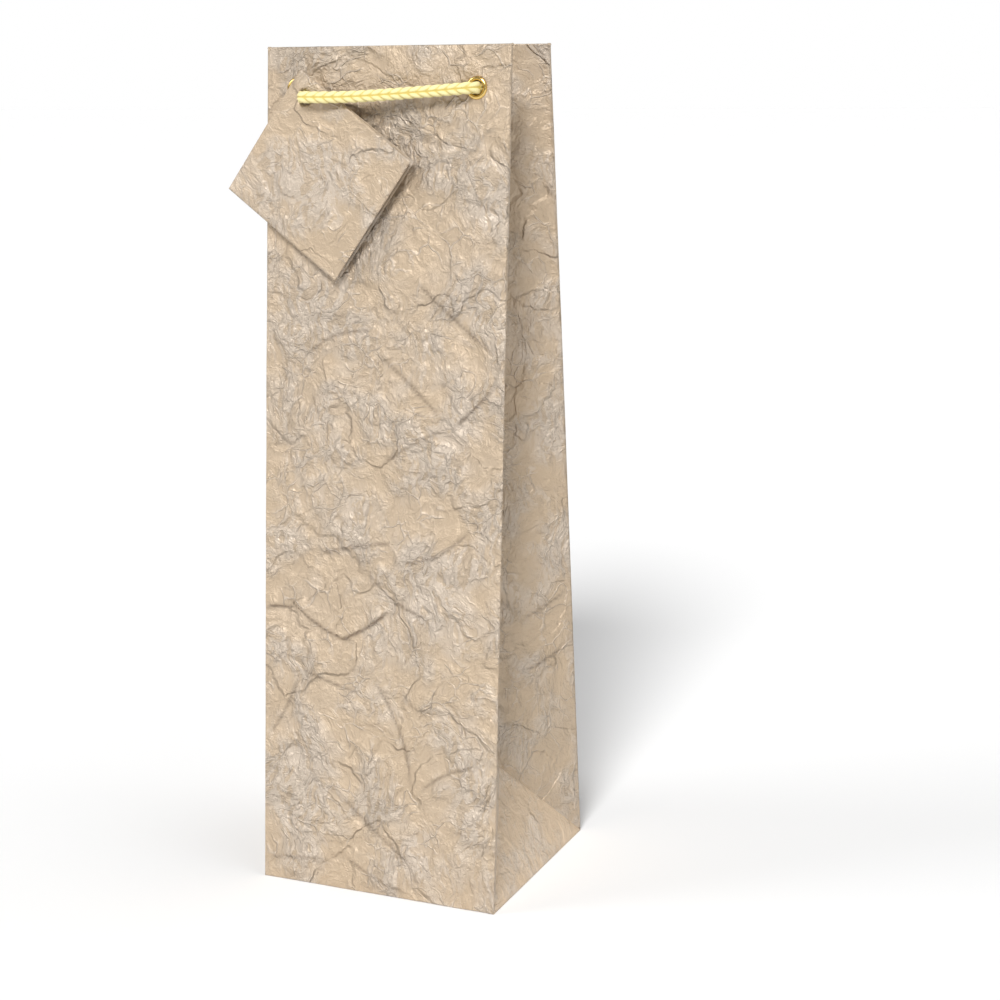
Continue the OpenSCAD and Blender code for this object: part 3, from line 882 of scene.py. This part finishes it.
class OBJECT_OT_wine_bag_eyelets(bpy.types.Operator):
    """Turns the four gilt eyelets, domed outside and curled over inside"""

    bl_idname = "object.wine_bag_eyelets"
    bl_label = "Eyelets"

    def execute(self, context):
        gilt = finishes()["bright_gilt"]
        # radius and depth behind the panel's face, from the back curl through the bore to the flange's rim
        profile = [(3.45, 1.65), (4.05, 1.7), (4.2, 1.95), (4.0, 2.2), (3.4, 2.2), (3.05, 1.9), (3.0, 1.2),
                   (3.0, 0.4), (3.0, -0.2), (3.1, -0.5), (3.35, -0.68), (3.7, -0.7), (4.1, -0.6),
                   (4.4, -0.4), (4.58, -0.1), (4.55, 0.0), (4.2, -0.02), (3.5, -0.02), (3.42, 0.4),
                   (3.42, 1.2)]
        for word, side in (("front", -1), ("back", 1)):
            for hand in (-1, 1):
                end = end_word(hand, side)
                bm = bmesh.new()
                ring = [bm.verts.new((r * MM, d * MM, 0)) for r, d in profile]
                edges = [bm.edges.new((ring[k], ring[(k + 1) % len(ring)])) for k in range(len(ring))]
                bmesh.ops.spin(bm, geom=ring + edges, cent=(0, 0, 0), axis=(0, 1, 0), angle=2 * math.pi,
                               steps=48, use_merge=True)
                bmesh.ops.remove_doubles(bm, verts=bm.verts, dist=0.000005)
                rotation, _ = panel_frame(side)
                centre = in_panel([(hand * EYELET_X, 0, EYELET_S)], side)[0]
                for v in bm.verts:
                    v.co = Vector(rotation @ np.array(v.co) + centre * MM)
                bmesh.ops.recalc_face_normals(bm, faces=bm.faces)
                for f in bm.faces:
                    f.smooth = True
                eyelet = finish_object(bm, f"{word}_{end}_gilt_eyelet", [gilt])
                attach(eyelet, word)
                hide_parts(f"{word}_{end}_eyelet")
        return {"FINISHED"}


def tag_leaf(seed, front):
    brow = 6 if front else 0
    nx, ny = 76 + brow, 74

    def place(u, v):
        i = u * nx
        roll = np.clip((brow - i) / max(brow, 1), 0, 1) * np.pi * 0.9
        run = np.clip((i - brow) / (nx - brow), 0, 1)
        x = -TAG_IN + run * TAG_W
        z = TAG_IN - TAG_H + v * TAG_H
        height, grey = crush(1.3 * x + 90, 1.3 * z, seed)
        rim = np.minimum.reduce([x + TAG_IN + 1, TAG_W - TAG_IN - x, z + TAG_H - TAG_IN, TAG_IN - z])
        calm = smooth(rim, 0, 4) * (0.2 + 0.8 * smooth(np.hypot(x, z), 3.5, 7))
        if front:
            r = 0.56
            out = 2 * r + math.tan(math.radians(TAG_GAPE)) * (x + TAG_IN) + 0.35 * height * calm
            x = x - r * np.sin(roll) * (i < brow)
            y = -out + r * (1 - np.cos(roll))
            normal = np.tile([0.0, -1.0, 0.0], (len(x), 1))
        else:
            y = np.minimum(-0.05 - 0.2 * height * calm, 0.0)
            normal = np.tile([0.0, 1.0, 0.0], (len(x), 1))
        rotation, shift = tag_frame()
        points = np.stack([x, y, z], 1) @ rotation.T + shift
        return points, normal @ rotation.T, 0.8 * grey

    return nx, ny, place


class OBJECT_OT_wine_bag_tag(bpy.types.Operator):
    """Folds the square tag that hangs on the front handle"""

    bl_idname = "object.wine_bag_tag"
    bl_label = "Tag"

    def execute(self, context):
        finish = finishes()
        rotation, shift = tag_frame()
        for front, name, seed in ((False, "tag_rear_paper", 83.0), (True, "tag_front_paper", 88.0)):
            nx, ny, place = tag_leaf(seed, front)
            bm = bent_grid(nx, ny, place)
            punch(bm, shift + rotation @ np.array([0, -0.6, 0]), rotation[:, 1], 3.4)
            leaf = finish_object(bm, name, [finish["leaf_paper"], finish["lining_paper"]], LEAF_THICK)
            if front:
                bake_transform(leaf)
                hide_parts("tag_front_leaf")
            else:
                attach(leaf, "tag_back")
                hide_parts("tag_back_leaf")
        return {"FINISHED"}


class OBJECT_OT_wine_bag_inner_pieces(bpy.types.Operator):
    """Gives the pieces kept from the frame their paper, card and gilt"""

    bl_idname = "object.wine_bag_inner_pieces"
    bl_label = "Base, cards and washers"

    def execute(self, context):
        finish = finishes()
        wanted = {"bottom_front_flap": "pearl_paper", "bottom_back_flap": "pearl_paper",
                  "bottom_side_flaps": "lining_paper", "base_card": "grey_card",
                  "side_seam_flap": "lining_paper"}
        for word in ("front", "back"):
            wanted[f"{word}_top_card"] = "grey_card"
            for end in ("left", "right"):
                wanted[f"{word}_{end}_washer"] = "bright_gilt"
        for node, name in wanted.items():
            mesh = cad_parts[node].data
            mesh.materials.clear()
            mesh.materials.append(finish[name])
        return {"FINISHED"}


# ---------------------------------------------------------------- stage


class OBJECT_OT_wine_bag_camera(bpy.types.Operator):
    """Sets the camera in front of the bag, a little to its right and above"""

    bl_idname = "object.wine_bag_camera"
    bl_label = "Camera"

    def execute(self, context):
        lens = bpy.data.cameras.new("bag_camera")
        lens.lens, lens.sensor_width = 70.9, 36.0
        lens.clip_start, lens.clip_end = 0.05, 60.0
        camera = bpy.data.objects.new("bag_camera", lens)
        camera.location = (0.368, -0.748, 0.3497)
        camera.rotation_mode = "XYZ"
        heading, pitch, roll = 23.78, -12.68, -0.75
        ahead = turn((0, 0, 1), heading) @ turn((1, 0, 0), pitch) @ np.array([0, 1, 0])
        facing = Vector(ahead).to_track_quat("-Z", "Y").to_matrix().to_4x4()
        camera.rotation_euler = (facing @ Matrix.Rotation(math.radians(roll), 4, "Z")).to_euler()
        context.scene.collection.objects.link(camera)
        context.scene.camera = camera
        return {"FINISHED"}


class OBJECT_OT_wine_bag_stage(bpy.types.Operator):
    """Lays a pale floor and lights it softly from above"""

    bl_idname = "object.wine_bag_stage"
    bl_label = "Stage"

    def execute(self, context):
        bm = bmesh.new()
        bmesh.ops.create_grid(bm, x_segments=8, y_segments=8, size=12)
        material = bpy.data.materials.new("pale_floor")
        material.use_nodes = True
        shader = material.node_tree.nodes["Principled BSDF"]
        shader.inputs["Base Color"].default_value = (0.92, 0.92, 0.92, 1)
        shader.inputs["Roughness"].default_value = 0.9
        shader.inputs["Specular IOR Level"].default_value = 0.1
        shader.inputs["Emission Color"].default_value = (1, 1, 1, 1)
        shader.inputs["Emission Strength"].default_value = 0.03
        floor = finish_object(bm, "pale_floor", [material])
        floor.location.z = -0.0002
        for name, direction, strength, angle in (("key_light", (0.157, -0.77, 0.616), 2.8, 16),
                                                 ("left_light", (-0.75, -0.45, 0.48), 0.8, 25),
                                                 ("right_light", (0.85, -0.2, 0.48), 0.35, 60),
                                                 ("back_light", (0.38, 0.2, 0.90), 0.6, 40)):
            lamp = bpy.data.lights.new(name, "SUN")
            lamp.energy, lamp.angle = strength, math.radians(angle)
            light = bpy.data.objects.new(name, lamp)
            light.rotation_euler = Vector(direction).to_track_quat("Z", "Y").to_euler()
            context.scene.collection.objects.link(light)
        world = bpy.data.worlds.new("studio")
        world.use_nodes = True
        world.node_tree.nodes.clear()
        t = Tree(world.node_tree)
        seen = t.add("ShaderNodeLightPath").outputs["Is Camera Ray"]
        # the world is white to the camera and dimmer as a light
        fill = 0.19
        glow = t.math("MULTIPLY_ADD", seen, 1 - fill, fill)
        shell = t.add("ShaderNodeBackground", {"Color": (1, 1, 1, 1), "Strength": glow})
        t.show(shell, "ShaderNodeOutputWorld")
        context.scene.world = world
        context.scene.view_settings.view_transform = "Standard"
        return {"FINISHED"}


class VIEW3D_PT_wine_bag(bpy.types.Panel):
    bl_label = "Wine gift bag"
    bl_idname = "VIEW3D_PT_wine_bag"
    bl_space_type = "VIEW_3D"
    bl_region_type = "UI"
    bl_category = "Gift bag"

    def draw(self, context):
        own = context.scene.wine_bag
        for name in ("relief", "paper_thickness", "cord_diameter", "stitch_pitch", "paper_warm", "paper_grey",
                     "cord_light", "cord_hollow_shade", "gilt"):
            self.layout.prop(own, name)
        for operator in OPERATORS:
            self.layout.operator(operator.bl_idname)


OPERATORS = (
    OBJECT_OT_wine_bag_camera,
    OBJECT_OT_wine_bag_cords,
    OBJECT_OT_wine_bag_panels,
    OBJECT_OT_wine_bag_hems,
    OBJECT_OT_wine_bag_gussets,
    OBJECT_OT_wine_bag_feet,
    OBJECT_OT_wine_bag_eyelets,
    OBJECT_OT_wine_bag_tag,
    OBJECT_OT_wine_bag_inner_pieces,
    OBJECT_OT_wine_bag_stage,
)
CLASSES = (WineBagProperties, *OPERATORS, VIEW3D_PT_wine_bag)


def register():
    for each in CLASSES:
        bpy.utils.register_class(each)
    bpy.types.Scene.wine_bag = PointerProperty(type=WineBagProperties)


def unregister():
    del bpy.types.Scene.wine_bag
    for each in reversed(CLASSES):
        bpy.utils.unregister_class(each)


def main():
    register()
    bpy.ops.object.wine_bag_camera()
    bpy.ops.object.wine_bag_cords()
    bpy.ops.object.wine_bag_panels()
    bpy.ops.object.wine_bag_hems()
    bpy.ops.object.wine_bag_gussets()
    bpy.ops.object.wine_bag_feet()
    bpy.ops.object.wine_bag_eyelets()
    bpy.ops.object.wine_bag_tag()
    bpy.ops.object.wine_bag_inner_pieces()
    bpy.ops.object.wine_bag_stage()
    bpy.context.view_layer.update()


if __name__ == "__main__":
    main()
